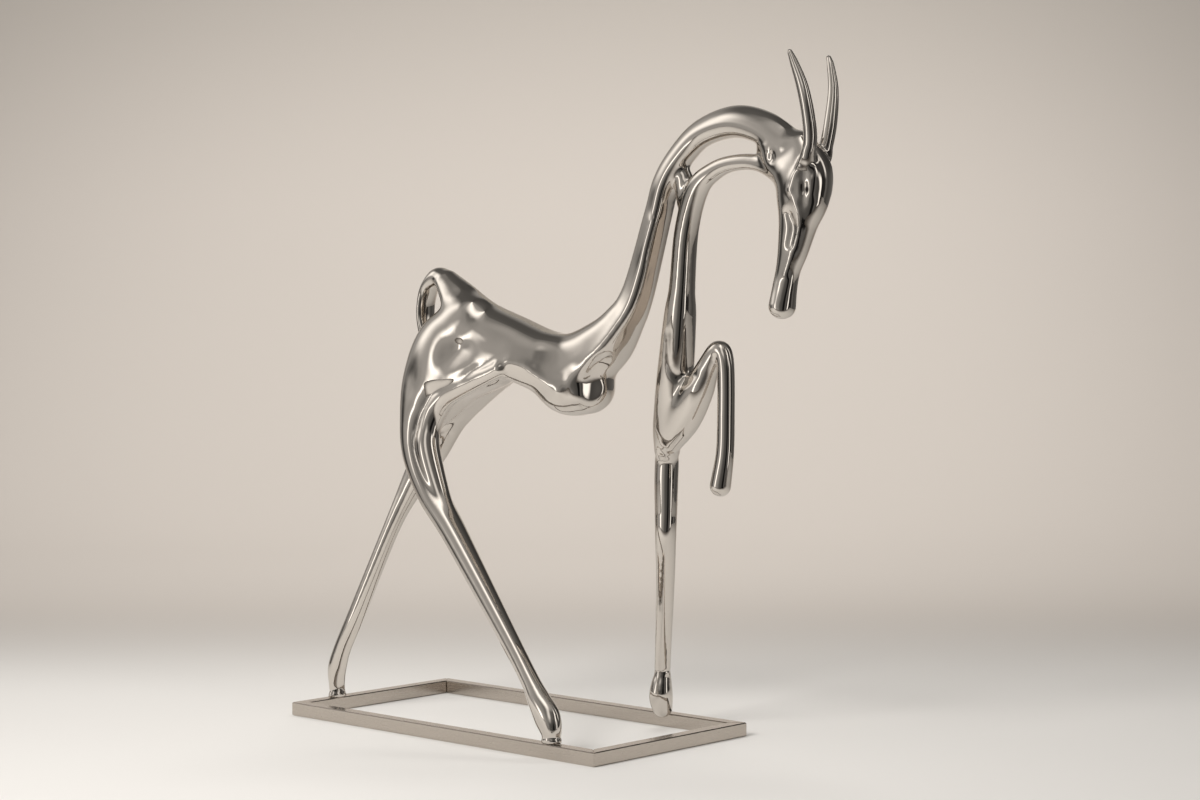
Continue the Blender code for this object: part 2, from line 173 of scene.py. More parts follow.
# Stations: along, across and up, half the depth and half the width of the section, all in hundredths of
# the height, and how square the section is, where 2 is an ellipse.
LIMBS = {
    "spine": (
        (-9.7, -4.5, 68.6, 1.7, 2.0, 2.2),
        (-7.0, -4.3, 65.9, 2.6, 3.1, 2.3),
        (-3.4, -3.8, 62.0, 3.8, 4.5, 2.4),
        (2.0, -2.8, 59.2, 4.3, 5.1, 2.7),
        (8.2, -1.6, 56.7, 4.5, 5.1, 2.8),
        (13.3, -0.3, 56.4, 4.4, 4.8, 2.8),
        (18.4, 0.0, 58.8, 3.7, 4.1, 2.9),
        (22.3, 0.0, 62.3, 2.6, 3.1, 3.1),
        (25.4, 0.0, 66.8, 1.95, 2.4, 3.2),
        (29.2, 0.0, 77.7, 1.65, 2.05, 3.2),
        (31.0, 0.0, 82.8, 1.65, 2.05, 2.9),
        (33.9, 0.0, 86.6, 1.75, 1.95, 2.5),
        (38.0, 0.0, 89.6, 2.0, 2.0, 2.1),
        (43.9, 0.0, 90.9, 2.3, 2.3, 2.0),
        (49.2, 0.0, 89.8, 2.4, 2.4, 2.0),
        (53.8, 0.0, 87.1, 2.4, 2.4, 2.1),
    ),
    "breast": (
        (8.5, -1.2, 54.9, 3.0, 4.0, 2.4),
        (12.5, -0.3, 52.8, 4.2, 5.3, 2.4),
        (15.0, 0.0, 52.9, 4.3, 5.0, 2.3),
    ),
    "head": (
        (55.5, 0.0, 87.0, 2.4, 2.1, 2.3),
        (56.2, 0.0, 83.4, 4.0, 3.0, 2.3),
        (56.1, 0.0, 80.1, 3.9, 3.0, 2.3),
        (55.3, 0.0, 76.6, 2.9, 2.3, 2.3),
        (54.4, 0.0, 72.8, 2.2, 1.9, 2.3),
        (53.5, 0.0, 69.9, 1.7, 1.6, 2.3),
        (52.9, 0.0, 67.3, 1.7, 1.7, 2.3),
        (52.5, 0.0, 64.9, 1.8, 2.0, 2.2),
    ),
    "throat": (
        (49.9, 0.0, 86.8, 1.5, 1.7, 2.2),
        (51.7, 0.0, 86.0, 2.2, 2.3, 2.2),
        (54.0, 0.0, 83.6, 2.6, 2.5, 2.2),
    ),
    "neck_weld": (
        (33.9, 0.2, 84.6, 0.9, 1.0, 2.0),
        (34.2, 0.3, 82.8, 1.5, 1.3, 2.0),
        (34.0, 0.5, 81.0, 1.2, 1.2, 2.0),
        (33.6, 0.7, 79.6, 0.8, 0.8, 2.0),
    ),
    "standing_foreleg": (
        (53.1, 0.0, 83.0, 1.6, 1.6, 2.4),
        (48.5, 0.0, 84.9, 1.2, 1.35, 2.4),
        (43.9, 0.0, 85.1, 1.15, 1.3, 2.4),
        (40.0, 0.2, 84.1, 1.3, 1.45, 2.4),
        (36.6, 0.5, 81.7, 1.5, 1.65, 2.6),
        (33.8, 1.4, 75.9, 1.55, 1.75, 2.6),
        (31.9, 2.6, 67.6, 1.7, 1.9, 2.6),
        (30.9, 3.3, 63.3, 2.1, 2.35, 2.6),
        (28.6, 4.9, 54.7, 2.45, 2.7, 2.4),
        (26.9, 5.9, 50.2, 2.1, 2.5, 2.6),
        (25.6, 6.8, 46.5, 2.0, 2.3, 2.5),
        (24.9, 7.4, 43.4, 1.85, 1.9, 2.3),
    ),
    "shank": (
        (24.7, 7.6, 44.0, 1.6, 1.6, 2.2),
        (24.3, 8.0, 41.5, 1.75, 1.7, 2.3),
        (24.15, 8.05, 38.6, 1.75, 1.7, 2.3),
        (24.05, 8.1, 34.0, 1.65, 1.6, 2.3),
        (23.9, 8.2, 30.0, 1.5, 1.55, 2.3),
        (22.3, 10.0, 23.4, 1.35, 1.4, 2.2),
        (18.7, 13.5, 9.8, 1.22, 1.22, 2.1),
        (18.6, 13.6, 8.2, 1.28, 1.28, 2.0),
        (18.4, 13.6, 6.6, 1.62, 1.62, 2.0),
        (18.3, 13.6, 4.9, 1.85, 1.8, 2.0),
        (18.3, 13.9, 3.2, 1.6, 1.55, 2.0),
    ),
    "shoulder": (
        (31.0, 4.9, 53.2, 1.4, 1.4, 2.0),
        (29.6, 5.3, 50.5, 1.9, 1.9, 2.0),
        (28.3, 5.8, 48.6, 1.95, 1.95, 2.0),
        (27.0, 6.3, 46.6, 1.8, 1.8, 2.0),
    ),
    "raised_foreleg": (
        (26.8, 6.3, 44.7, 1.55, 1.55, 2.4),
        (30.1, 5.6, 48.1, 2.1, 2.1, 2.4),
        (33.0, 4.9, 52.3, 2.15, 2.15, 2.4),
        (35.4, 4.5, 56.2, 1.6, 1.6, 2.3),
        (37.5, 4.3, 58.5, 1.4, 1.4, 2.2),
        (38.7, 4.3, 56.4, 1.25, 1.25, 2.2),
        (38.8, 4.3, 47.7, 1.25, 1.25, 2.2),
        (38.6, 4.3, 43.3, 1.3, 1.3, 2.2),
        (37.8, 4.3, 38.8, 1.55, 1.55, 2.0),
    ),
    "near_hind_leg": (
        (-3.7, -5.2, 63.0, 3.1, 3.1, 2.3),
        (-8.2, -5.7, 58.6, 5.3, 4.2, 2.4),
        (-11.4, -6.6, 53.0, 4.2, 3.8, 2.8),
        (-12.5, -7.7, 47.1, 2.8, 3.3, 2.5),
        (-11.7, -8.3, 41.8, 2.3, 3.2, 2.4),
        (-8.1, -9.2, 35.8, 1.95, 2.7, 2.3),
        (-1.6, -10.6, 29.7, 1.7, 2.05, 2.3),
        (12.8, -13.9, 15.9, 1.35, 1.35, 2.4),
        (18.2, -15.1, 10.5, 1.35, 1.35, 2.2),
        (20.3, -15.4, 7.9, 1.8, 1.6, 2.0),
        (21.9, -15.5, 5.8, 2.2, 1.6, 2.0),
        (22.8, -15.6, 4.0, 1.7, 1.45, 2.0),
        (23.0, -15.7, 3.0, 1.4, 1.3, 2.0),
        (23.0, -15.7, 2.2, 1.6, 1.4, 2.0),
        (23.0, -15.7, 1.0, 1.65, 1.4, 2.0),
    ),
    "haunch": (
        (-9.5, -6.4, 56.0, 5.2, 3.6, 2.5),
        (-4.5, -6.0, 55.7, 4.3, 3.4, 2.6),
        (-0.4, -5.3, 56.8, 2.9, 3.0, 2.6),
        (5.2, -4.6, 57.5, 2.0, 2.6, 2.5),
        (9.0, -3.4, 57.6, 1.5, 2.4, 2.4),
    ),
    "flank_roll": (
        (-1.6, -10.5, 29.7, 0.9, 0.9, 2.0),
        (-4.0, -10.0, 32.7, 1.3, 1.3, 2.0),
        (-6.6, -9.5, 36.3, 1.6, 1.6, 2.0),
        (-9.1, -9.4, 42.6, 1.9, 1.9, 2.0),
        (-9.4, -8.9, 45.7, 1.8, 1.8, 2.0),
        (-8.6, -8.3, 48.5, 1.7, 1.7, 2.0),
        (-6.7, -8.1, 50.7, 1.6, 1.6, 2.0),
        (-3.8, -8.0, 52.1, 1.5, 1.5, 2.0),
        (-0.3, -7.7, 53.5, 1.4, 1.4, 2.0),
        (2.5, -7.5, 54.6, 1.3, 1.3, 2.0),
        (4.3, -7.4, 55.4, 1.15, 1.15, 2.0),
    ),
    "groin": (
        (-10.5, -6.0, 49.0, 2.6, 3.0, 2.2),
        (-6.0, -5.0, 52.8, 2.8, 3.2, 2.2),
        (0.0, -4.0, 55.0, 2.6, 3.2, 2.2),
    ),
    "far_hind_leg": (
        (-1.0, -1.0, 57.4, 4.2, 4.2, 2.4),
        (-7.0, -0.7, 53.6, 3.9, 3.9, 2.4),
        (-13.8, -1.0, 48.1, 3.6, 3.6, 2.4),
        (-16.2, -2.1, 42.1, 2.6, 2.6, 2.4),
        (-19.4, -3.8, 35.5, 1.7, 1.7, 2.4),
        (-22.1, -5.4, 29.1, 1.3, 1.3, 2.2),
        (-27.6, -7.7, 15.5, 1.35, 1.35, 2.2),
        (-30.2, -8.3, 10.0, 1.4, 1.4, 2.0),
        (-31.3, -8.5, 6.7, 1.5, 1.5, 2.0),
        (-31.4, -8.5, 4.4, 1.1, 1.45, 2.0),
        (-31.3, -8.5, 3.0, 1.05, 1.4, 2.0),
        (-31.3, -8.5, 2.2, 1.15, 1.65, 2.0),
        (-31.3, -8.5, 1.0, 1.15, 1.65, 2.0),
    ),
    "tail": (
        (-9.6, -4.5, 68.0, 1.4, 1.6, 2.2),
        (-11.5, -4.5, 69.3, 1.45, 1.75, 2.2),
        (-13.8, -4.3, 67.9, 0.95, 1.85, 2.2),
        (-14.9, -4.2, 65.5, 0.8, 1.85, 2.2),
        (-15.0, -4.2, 62.6, 0.8, 1.85, 2.2),
        (-13.9, -4.2, 59.1, 1.0, 2.0, 2.2),
    ),
    "near_ear": (
        (58.3, -2.3, 84.2, 0.95, 0.95, 2.2),
        (59.6, -3.0, 87.5, 0.93, 0.95, 2.2),
        (59.65, -3.5, 90.9, 0.88, 0.9, 2.2),
        (59.0, -4.0, 94.8, 0.85, 0.75, 2.2),
        (57.8, -4.3, 98.1, 0.6, 0.55, 2.0),
        (57.2, -4.5, 99.6, 0.35, 0.35, 2.0),
    ),
    "far_ear": (
        (56.9, 2.3, 83.5, 1.05, 1.05, 2.2),
        (57.8, 3.0, 87.2, 0.95, 0.95, 2.2),
        (58.2, 3.5, 90.7, 0.9, 0.9, 2.2),
        (58.2, 4.0, 94.8, 0.75, 0.7, 2.2),
        (57.5, 4.3, 98.2, 0.55, 0.5, 2.0),
        (57.0, 4.5, 99.4, 0.35, 0.35, 2.0),
    ),
}

# How widely each weld is filled, in millimetres, in the order the limbs are joined. The near hind leg, the
# rest of the body, and the head with both forelegs are made apart and then joined, by the last two widths.
LEG_WELDS = (("near_hind_leg", 1), ("haunch", 8), ("groin", 12), ("flank_roll", 4))
BODY_WELDS = (("spine", 1), ("breast", 10), ("far_hind_leg", 14), ("tail", 5))
HEAD_WELDS = (
    ("head", 1),
    ("throat", 8),
    ("standing_foreleg", 8),
    ("neck_weld", 5),
    ("raised_foreleg", 9),
    ("shoulder", 12),
    ("shank", 2.5),
    ("near_ear", 5),
    ("far_ear", 5),
)
LEG_TO_BODY = 12
HEAD_TO_BODY = 7
# How much wider these limbs are toward their inner side, as a share of the width
FLARES = {"spine": 0.16, "haunch": 0.2}


def smooth_curve(rows, step):
    """The rows with more between them, about `step` apart, on a curve through every row."""
    rows = np.asarray(rows, float)
    padded = np.vstack([2 * rows[0] - rows[1], rows, 2 * rows[-1] - rows[-2]])
    fine = []
    for i in range(1, len(padded) - 2):
        p0, p1, p2, p3 = padded[i - 1 : i + 3]
        pieces = max(1, math.ceil(np.linalg.norm(p2[:3] - p1[:3]) / step))
        for t in np.linspace(0, 1, pieces, endpoint=False):
            fine.append(
                (2 * p1 + (p2 - p0) * t + (2 * p0 - 5 * p1 + 4 * p2 - p3) * t**2
                 + (3 * p1 - p0 - 3 * p2 + p3) * t**3) / 2
            )
    fine.append(rows[-1])
    return np.array(fine)


class Clay:
    """A block of cells, each holding how far it is outside the surface, or below 0 inside it."""

    def __init__(self, low, high, cell):
        self.low = np.asarray(low, float)
        self.cell = cell
        self.shape = np.ceil((np.asarray(high, float) - self.low) / cell).astype(int)
        self.outside = np.full(self.shape, REACH, np.float32)

    def block(self, points, reach):
        """The cells within reach of the points, and their places."""
        first = np.maximum(np.floor((points.min(0) - reach - self.low) / self.cell).astype(int), 0)
        last = np.ceil((points.max(0) + reach - self.low) / self.cell).astype(int) + 1
        last = np.minimum(last, self.shape)
        part = tuple(slice(a, b) for a, b in zip(first, last))
        axes = [self.low[k] + self.cell * np.arange(first[k], last[k]) for k in range(3)]
        axes = [axis.astype(np.float32) for axis in axes]
        return part, np.meshgrid(*axes, indexing="ij")

    def join(self, other, width, part=slice(None)):
        """Adds another distance, with a rounded weld about `width` across."""
        mine = self.outside[part]
        near = np.maximum(width - np.abs(mine - other), 0) / width
        self.outside[part] = np.minimum(mine, other) - near**3 * width / 6

    def join_limb(self, stations, width, flare):
        """Adds a limb swept through the stations, wider toward its inner side by the flare."""
        run = smooth_curve(stations, STATION_STEP)
        centres = run[:, :3]
        forward = np.gradient(centres, axis=0)
        forward /= np.linalg.norm(forward, axis=1, keepdims=True)
        sideways = np.array((0.0, 1, 0)) - forward * forward[:, 1:2]
        sideways /= np.linalg.norm(sideways, axis=1, keepdims=True)
        inward = np.cross(sideways, forward)
        whole, _ = self.block(centres, run[:, 3:5].max() + REACH)
        limb = np.full(self.outside[whole].shape, REACH, np.float32)
        for i in range(len(run) - 1):
            part, (x, y, z) = self.block(centres[i : i + 2], run[i : i + 2, 3:5].max() + REACH)
            span = centres[i + 1] - centres[i]
            off = [x - centres[i, 0], y - centres[i, 1], z - centres[i, 2]]
            share = np.clip(sum(o * s for o, s in zip(off, span)) / (span @ span), 0, 1)
            off = [o - share * s for o, s in zip(off, span)]

            def between(rows, k=None):
                start, end = (rows[i], rows[i + 1]) if k is None else (rows[i, k], rows[i + 1, k])
                return start + share * (end - start)

            def along(ways):
                return sum(off[k] * between(ways, k) for k in range(3))

            deep, wide, square = between(run, 3), between(run, 4), between(run, 5)
            end_size = np.minimum(deep, wide)
            u = along(inward) / deep
            wide = wide * (1 + flare * np.clip(u, -1, 1))
            u = np.abs(u) + 1e-6
            v = np.abs(along(sideways)) / wide + 1e-6
            w = np.abs(along(forward)) / end_size
            across = (u**square + v**square) ** (1 / square)
            level = np.sqrt(across**2 + w**2)
            slope_u = (u / across) ** (square - 1) / deep
            slope_v = (v / across) ** (square - 1) / wide
            slope = np.sqrt((across / level) ** 2 * (slope_u**2 + slope_v**2) + (w / level / end_size) ** 2)
            here = tuple(slice(p.start - q.start, p.stop - q.start) for p, q in zip(part, whole))
            np.minimum(limb[here], (level - 1) / slope, out=limb[here])
        self.join(limb, width, whole)

    def press(self, depth, radius, places):
        """Pushes the surface in along a smooth line, or raises it where the depth is below 0."""
        line = smooth_curve(scaled(places), radius)
        part, (x, y, z) = self.block(line, 3 * radius)
        nearest = np.full(x.shape, 9 * radius**2, np.float32)
        for start, end in zip(line, line[1:]):
            span = end - start
            off = [x - start[0], y - start[1], z - start[2]]
            share = np.clip(sum(o * s for o, s in zip(off, span)) / (span @ span), 0, 1)
            np.minimum(nearest, sum((o - share * s) ** 2 for o, s in zip(off, span)), out=nearest)
        self.outside[part] += depth * np.exp(-nearest / radius**2)

    def hollow(self, places, edge):
        """Scoops out a channel with a ball that runs along the places, each with the ball's radius."""
        line = smooth_curve(scaled(places), STATION_STEP)
        part, (x, y, z) = self.block(line[:, :3], line[:, 3].max() + edge)
        ball = np.full(x.shape, -REACH, np.float32)
        for cx, cy, cz, radius in line:
            np.maximum(ball, radius - np.sqrt((x - cx) ** 2 + (y - cy) ** 2 + (z - cz) ** 2), out=ball)
        mine = self.outside[part]
        near = np.maximum(edge - np.abs(mine - ball), 0) / edge
        self.outside[part] = np.maximum(mine, ball) + near**3 * edge / 6

    def skin(self):
        """A closed mesh: a point in each cell the surface crosses, and a face on each edge it crosses."""
        inside = self.outside < 0
        corners = [(i, j, k) for i in (0, 1) for j in (0, 1) for k in (0, 1)]
        filled = sum(
            inside[tuple(slice(o, n - 1 + o) for o, n in zip(corner, self.shape))].astype(np.int8)
            for corner in corners
        )
        cells = np.argwhere((filled > 0) & (filled < 8))
        number = np.full(self.shape - 1, -1, np.int32)
        number[tuple(cells.T)] = np.arange(len(cells))
        total = np.zeros((len(cells), 3))
        crossings = np.zeros(len(cells))
        for axis in range(3):
            for corner in corners:
                if corner[axis]:
                    continue
                start = cells + corner
                end = start.copy()
                end[:, axis] += 1
                a, b = self.outside[tuple(start.T)], self.outside[tuple(end.T)]
                crossed = (a < 0) != (b < 0)
                place = np.zeros((len(cells), 3)) + corner
                place[:, axis] += np.where(crossed, a / np.where(crossed, a - b, 1), 0)
                total += place * crossed[:, None]
                crossings += crossed
        points = self.low + self.cell * (cells + total / crossings[:, None])
        faces = []
        for axis in range(3):
            second, third = (axis + 1) % 3, (axis + 2) % 3
            low_end, high_end = [slice(1, -1)] * 3, [slice(1, -1)] * 3
            low_end[axis], high_end[axis] = slice(0, -1), slice(1, None)
            starts_in = inside[tuple(low_end)]
            edges = np.argwhere(starts_in != inside[tuple(high_end)])
            outward = starts_in[tuple(edges.T)]
            edges[:, second] += 1
            edges[:, third] += 1
            ring = []
            for back_second, back_third in ((1, 1), (0, 1), (0, 0), (1, 0)):
                cell = edges.copy()
                cell[:, second] -= back_second
                cell[:, third] -= back_third
                ring.append(number[tuple(cell.T)])
            quads = np.stack(ring, 1)
            quads[~outward] = quads[~outward][:, ::-1]
            faces.append(quads)
        return points, np.vstack(faces)

    def read(self, points):
        """How far outside the surface each point is, on a smooth curve between the cells."""
        place = (points - self.low) / self.cell
        first = np.floor(place).astype(int)
        t = place - first
        weights = (
            (2 * t**2 - t - t**3) / 2,
            (2 - 5 * t**2 + 3 * t**3) / 2,
            (t + 4 * t**2 - 3 * t**3) / 2,
            (t**3 - t**2) / 2,
        )
        total = np.zeros(len(points))
        for i in range(4):
            for j in range(4):
                for k in range(4):
                    cells = self.outside[first[:, 0] + i - 1, first[:, 1] + j - 1, first[:, 2] + k - 1]
                    total += weights[i][:, 0] * weights[j][:, 1] * weights[k][:, 2] * cells
        return total

    def settled(self, points):
        """The points moved onto the surface itself, down the slope of the distances."""
        nudges = np.eye(3) * self.cell / 2
        slope = np.stack([(self.read(points + n) - self.read(points - n)) / self.cell for n in nudges], 1)
        steep = np.maximum((slope**2).sum(1), 0.25)
        away = np.clip(self.read(points) / steep, -self.cell, self.cell)
        return points - slope * away[:, None]


def polished(points, faces, rounds):
    """The points evened out, each round moving them in and then back out so that nothing shrinks."""
    starts, ends = faces.ravel(), np.roll(faces, -1, axis=1).ravel()
    neighbours = np.bincount(starts, minlength=len(points))[:, None]
    for _ in range(rounds):
        for step in (0.6, -0.62):
            mean = np.stack([np.bincount(starts, points[ends, k], len(points)) for k in range(3)], 1)
            points = points + step * (mean / neighbours - points)
    return points


def scaled(stations):
    """Stations in millimetres."""
    rows = np.array(stations, float)
    rows[:, :5] *= HEIGHT / 100
    return rows


# The hollow between breast and neck: where the ball that scoops it runs, and its radius, in hundredths
BREAST_DISH = ((24.2, -4.8, 50.8, 6.5), (24.3, -4.7, 52.2, 6.5))

# Lines that are pushed in, or raised where the depth is below 0: depth and radius in millimetres, then
# places in hundredths
BREAST_RIDGE = (
    (6.6, -7.5, 56.5),
    (8.9, -6.8, 55.9),
    (10.7, -6.3, 54.7),
    (12.7, -5.8, 53.3),
    (14.6, -5.3, 52.3),
)
NECK_RIDGE = (
    (14.6, -5.3, 52.3),
    (17.3, -4.4, 54.5),
    (21.9, -3.6, 58.9),
    (26.0, -2.2, 64.1),
    (28.1, -1.8, 69.2),
    (29.0, -2.1, 73.1),
    (30.4, -1.9, 77.0),
)
HAUNCH_SWELL = ((-9.2, -10.4, 49.6), (-7.5, -9.5, 52.3), (-4.1, -9.1, 54.3), (-0.5, -8.6, 55.6))
HIP_DIP = ((-5.2, -9.6, 57.6), (-4.4, -9.6, 57.5))
FLANK_DIP = ((-4.4, -9.6, 57.6), (-0.5, -8.6, 59.2), (3.5, -7.8, 59.0))
FLANK_KNOB = ((4.6, -7.5, 56.0), (5.7, -7.4, 56.2))
BODY_LINES = (
    (-1.5, 5, BREAST_RIDGE),
    (-1.5, 5, NECK_RIDGE),
    (-1.4, 12, HAUNCH_SWELL),
    (1.2, 11, HIP_DIP),
    (0.5, 13, FLANK_DIP),
    (-1.4, 4, FLANK_KNOB),
)
STRAND_END = (
    (30.3, 1.2, 60.9),
    (29.9, 2.0, 56.2),
    (30.6, 2.9, 54.6),
    (32.4, 3.0, 53.7),
    (34.0, 2.8, 54.9),
)
STRAND_LINE = (1.0, 3.5, STRAND_END)
BROW = ((59.0, -3.4, 86.0), (57.0, -3.2, 83.0), (56.2, -3.1, 80.9))
CHEEK_EDGE = (
    (56.2, -3.0, 80.9),
    (57.2, -2.5, 77.8),
    (56.9, -2.0, 75.7),
    (55.8, -1.8, 72.9),
    (54.2, -1.6, 69.2),
)
EYE_SOCKET = ((58.6, -3.0, 84.2), (58.3, -2.9, 81.1), (58.1, -2.6, 79.0))
EYE_PIT = ((58.3, -2.6, 81.5), (58.3, -2.6, 80.7))
FOREHEAD_EDGE = ((59.7, -2.0, 85.0), (59.5, -2.0, 82.8), (59.1, -2.1, 80.4))
CHEEK_HOLLOW = ((55.5, -2.4, 77.6), (55.9, -2.1, 75.7), (55.3, -2.0, 73.4))
NAPE_KNOB = ((50.5, -2.4, 87.3), (51.4, -2.4, 87.0))
JAW_HOLLOW = ((52.4, -2.3, 86.0), (52.3, -2.2, 85.3))
# On both sides of the head
HEAD_LINES = (
    (-1.5, 3.2, BROW),
    (-1.2, 2.6, CHEEK_EDGE),
    (1.3, 2.8, EYE_SOCKET),
    (2.4, 2.4, EYE_PIT),
    (-1.0, 3.5, FOREHEAD_EDGE),
    (2.3, 3.4, CHEEK_HOLLOW),
    (-1.6, 5, NAPE_KNOB),
    (2.0, 3, JAW_HOLLOW),
)


def mirrored(places):
    return [(x, -y, z) for x, y, z in places]


def model_horse():
    low, high = (-215, -130, -6), (375, 130, 600)
    leg, body, head = Clay(low, high, CELL), Clay(low, high, CELL), Clay(low, high, CELL)
    for clay, welds in ((leg, LEG_WELDS), (body, BODY_WELDS), (head, HEAD_WELDS)):
        for name, width in welds:
            clay.join_limb(scaled(LIMBS[name]), width, FLARES.get(name, 0))
    body.hollow(BREAST_DISH, 5)
    body.join(leg.outside, LEG_TO_BODY)
    for depth, radius, places in BODY_LINES:
        body.press(depth, radius, places)
    for depth, radius, places in HEAD_LINES:
        head.press(depth, radius, places)
        head.press(depth, radius, mirrored(places))
    head.press(*STRAND_LINE)
    body.join(head.outside, HEAD_TO_BODY)
    return body


def cut_clear_of_frame(clay):
    """Cuts the hind soles flat, and the front hoof, on the far side, to the rail it bears on."""
    half_x, half_y, top = FRAME_LENGTH / 2 + SOLE_GAP, FRAME_WIDTH / 2 + SOLE_GAP, RAIL + SOLE_GAP
    corners = np.array([(-half_x - RAIL, -half_y - RAIL, 0), (half_x + RAIL, half_y + RAIL, top)])
    part, (x, y, z) = clay.block(corners, RAIL)
    inner_x, inner_y = FRAME_LENGTH / 2 - RAIL - SOLE_GAP, FRAME_WIDTH / 2 - RAIL - SOLE_GAP
    inside_opening = np.minimum(inner_x - np.abs(x), inner_y - np.abs(y))
    clear_of_rail = np.maximum(z - top, np.where(x < inner_x, inside_opening, -RAIL))
    clear = np.where(y < 0, z - top, clear_of_rail)
    clay.outside[part] = np.maximum(clay.outside[part], -clear)


def blend(nodes, links, value, start, end, first, second):
    """A colour that goes smoothly from the first to the second as the value goes from start to end."""
    share = nodes.new("ShaderNodeMapRange")
    share.interpolation_type = "SMOOTHSTEP"
    share.inputs["From Min"].default_value = start
    share.inputs["From Max"].default_value = end
    links.new(value, share.inputs["Value"])
    mix = nodes.new("ShaderNodeMix")
    mix.data_type = "RGBA"
    links.new(share.outputs["Result"], mix.inputs["Factor"])
    for name, colour in (("A", first), ("B", second)):
        if isinstance(colour, tuple):
            mix.inputs[name].default_value = (*colour, 1)
        else:
            links.new(colour, mix.inputs[name])
    return mix.outputs["Result"]


# The pit of each eye, darkened with painted shade because the pit is too small for the mesh to shade: along,
# to either side and up in millimetres, the colour of the painted shade, and how far from its middle the shade
# starts to thin out and ends, in metres
EYE = (337, 14, 465)
PIT_PAINTED_SHADE = (0.05, 0.045, 0.04)
PIT_SHADE_EDGE = (0.0012, 0.0034)


def mirror_steel():
    """Mirror-polished stainless steel, a little hazy where the polishing wheel ran, with painted shade in the
    pits of the eyes.
    """
    material, nodes, links, shader = steel_nodes("horse_mirror_steel", (0.65, 0.61, 0.565), 0.05)
    place = nodes.new("ShaderNodeTexCoord")
    haze = nodes.new("ShaderNodeTexNoise")
    haze.inputs["Scale"].default_value = 22
    haze.inputs["Detail"].default_value = 5
    links.new(place.outputs["Object"], haze.inputs["Vector"])
    rough = nodes.new("ShaderNodeMapRange")
    rough.inputs["From Min"].default_value = 0.35
    rough.inputs["From Max"].default_value = 0.7
    rough.inputs["To Min"].default_value = 0.02
    rough.inputs["To Max"].default_value = 0.07
    links.new(haze.outputs["Fac"], rough.inputs["Value"])
    links.new(rough.outputs["Result"], shader.inputs["Roughness"])
    steel = shader.inputs["Base Color"].default_value[:3]
    # Painted shade darkens the steel around the pit of each eye
    for side in (-1, 1):
        away = nodes.new("ShaderNodeVectorMath")
        away.operation = "DISTANCE"
        away.inputs[1].default_value = in_part_metres([(EYE[0], side * EYE[1], EYE[2])])[0]
        links.new(place.outputs["Object"], away.inputs[0])
        steel = blend(nodes, links, away.outputs["Value"], *PIT_SHADE_EDGE, PIT_PAINTED_SHADE, steel)
    links.new(steel, shader.inputs["Base Color"])
    ripple = nodes.new("ShaderNodeTexNoise")
    ripple.inputs["Scale"].default_value = 55
    ripple.inputs["Detail"].default_value = 2
    links.new(place.outputs["Object"], ripple.inputs["Vector"])
    bump = nodes.new("ShaderNodeBump")
    bump.inputs["Strength"].default_value = 0.07
    bump.inputs["Distance"].default_value = 0.0006
    links.new(ripple.outputs["Fac"], bump.inputs["Height"])
    links.new(bump.outputs["Normal"], shader.inputs["Normal"])
    return material


def make_horse():
    clay = model_horse()
    cut_clear_of_frame(clay)
    points, faces = clay.skin()
    points = polished(clay.settled(points), faces, POLISHING)
    points = clay.settled(points)
    mesh = bpy.data.meshes.new("horse")
    mesh.from_pydata(in_part_metres(points).tolist(), [], faces.tolist())
    mesh.polygons.foreach_set("use_smooth", [True] * len(mesh.polygons))
    mesh.materials.append(mirror_steel())
    obj = bpy.data.objects.new("horse", mesh)
    bpy.context.scene.collection.objects.link(obj)
    return obj


horse = make_horse()
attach(horse, "root")
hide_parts("horse_figure")


# The studio
# A sheet of pale paint that sweeps up from the floor into a warm beige wall, with no line between them, lit
# from the left and from above. Painted light is added to its colour: a painted pool of light in the middle of
# the floor and of the wall, and painted shade around them, at the wall's top and at the floor's front. The
# polished steel mirrors it, and the tall lights and dark room around it.

CAMERA_TURN = math.radians(42.5)
FLOOR_COLOUR = (0.80, 0.79, 0.77)
WALL_COLOUR = (0.62, 0.58, 0.54)
# Painted shade: the colour of the wall's top, then the colour that floor and wall darken to away from their
# painted pools of light
TOP_PAINTED_SHADE = (0.36, 0.34, 0.31)
PAINTED_SHADE_COLOUR = (0.09, 0.08, 0.07)
# Places to the camera's right, away beyond the work and up, from the frame's centre, in millimetres
# The middles of the pools of light painted on the floor and on the wall
FLOOR_PAINTED_LIGHT = (-20, -550, 0)
WALL_PAINTED_LIGHT = (0, 2000, 500)
SHEET_LEFT = -1900
SHEET_RIGHT = 1600
SHEET_FRONT = -620
SWEEP_START = 1500
SWEEP_RADIUS = 1200
SWEEP_FACETS = 24
SWEEP_TOP = 2200
# In front of what the camera sees, painted shade darkens the floor from here to its front edge. Its paint
# turns into the wall's between the two places of FLOOR_TO_WALL.
UNSEEN_FLOOR = -340
FLOOR_TO_WALL = (150, 900)
# Where each painted fall-off of light starts and ends, in metres from the middle of its painted pool of
# light, and in height for the painted shade at the wall's top
FLOOR_PAINTED_FALLOFF = (0.3, 3.0)
WALL_PAINTED_FALLOFF = (0.7, 3.2)
TOP_SHADE_FADE = (0.5, 1.5)


def from_camera(right, back, up):
    """A place in the studio: to the camera's right, away beyond the work, and up."""
    c, s = math.cos(CAMERA_TURN), math.sin(CAMERA_TURN)
    return in_part_metres([(right * c - back * s, right * s + back * c, up)])[0]


